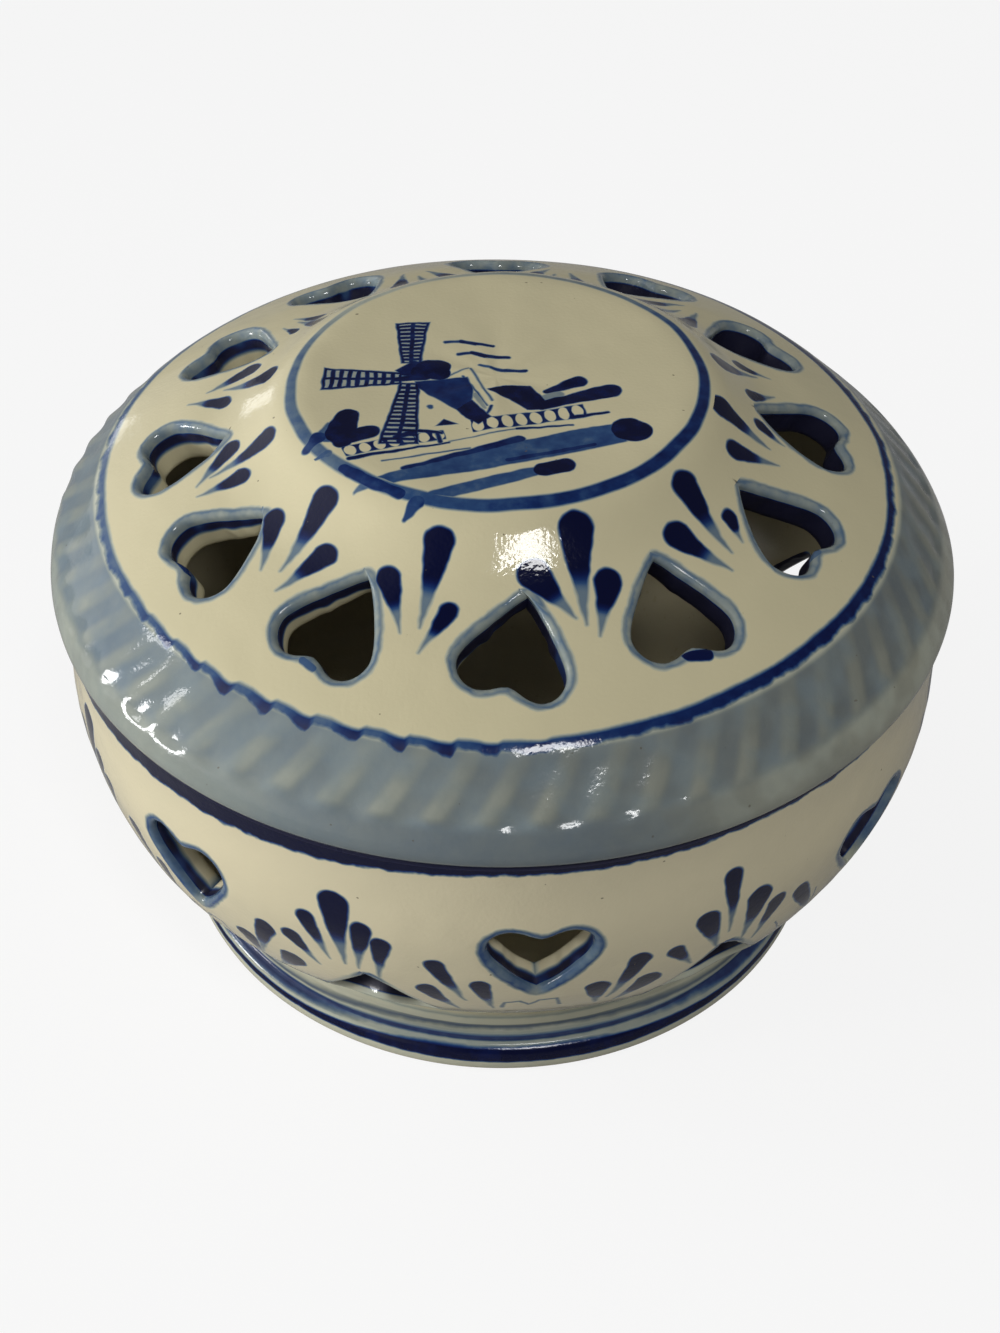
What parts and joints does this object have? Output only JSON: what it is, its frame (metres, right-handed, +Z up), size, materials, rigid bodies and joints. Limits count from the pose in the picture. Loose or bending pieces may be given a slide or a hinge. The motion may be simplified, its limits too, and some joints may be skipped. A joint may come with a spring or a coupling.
{
  "type": "lidded trinket box",
  "caption": "Round pierced pottery box with a flat-topped, heart-pierced lift-off lid, a round heart-pierced bowl and a flared foot ring.",
  "frame": {"origin": "centre of the foot ring's underside, on the surface the box stands on", "axes": "+Z up along the axis of the bowl and the lid; -Y towards the side shown in the picture"},
  "size_m": [0.1166, 0.1166, 0.079],
  "materials": {
    "bowl_glaze": "glossy cream tin glaze over hand-painted cobalt blue leaves, rim line and foot bands",
    "lid_glaze": "glossy cream glaze with a hand-painted cobalt blue windmill scene, leaf sprays and line, and a blue-grey washed fluted rim"
  },
  "bodies": {
    "bowl": {"bowl": "bowl_glaze"},
    "lid": {"lid": "lid_glaze"}
  },
  "joints": [
    {"name": "lid_lift", "type": "slide", "parent": "bowl", "child": "lid", "axis": [0, 0, 1], "range_m": [0, 0.06]}
  ]
}
